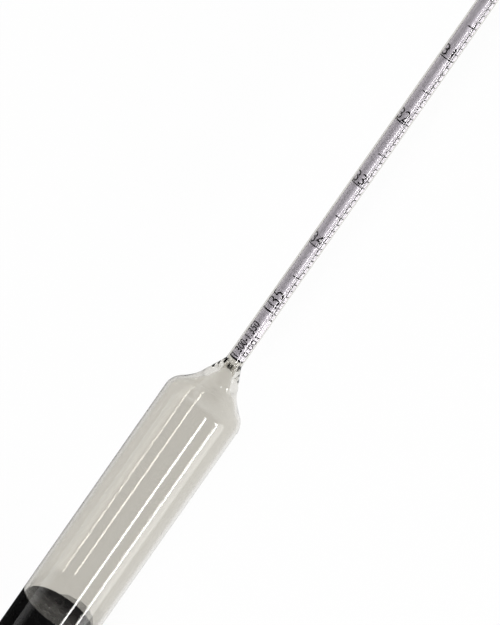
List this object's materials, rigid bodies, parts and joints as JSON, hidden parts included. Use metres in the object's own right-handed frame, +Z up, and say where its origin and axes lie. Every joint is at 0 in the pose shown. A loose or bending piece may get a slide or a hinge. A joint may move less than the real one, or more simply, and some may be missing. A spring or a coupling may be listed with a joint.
{
  "type": "hydrometer",
  "caption": "Glass float with a slim graduated stem, a wide weighted bulb and a printed paper density scale, lying on its side.",
  "frame": {"origin": "on the surface it lies on, under the middle of its length and under its axis", "axes": "+X along the float's axis from the bulb to the stem's tip, +Z up, with the scale's middle facing +Z"},
  "size_m": [0.2456, 0.021, 0.021],
  "materials": {
    "glass": "clear soda-lime glass, fire polished",
    "paper": "smooth white scale paper",
    "ink": "matt black print",
    "pitch": "black pitch, glossy where it set free",
    "shot": "dull cast steel shot"
  },
  "bodies": {
    "root": {"glass_body": "glass", "scale_paper": "paper", "scale_print": "ink", "ballast_pitch": "pitch", "ballast_shot": "shot"}
  },
  "joints": []
}
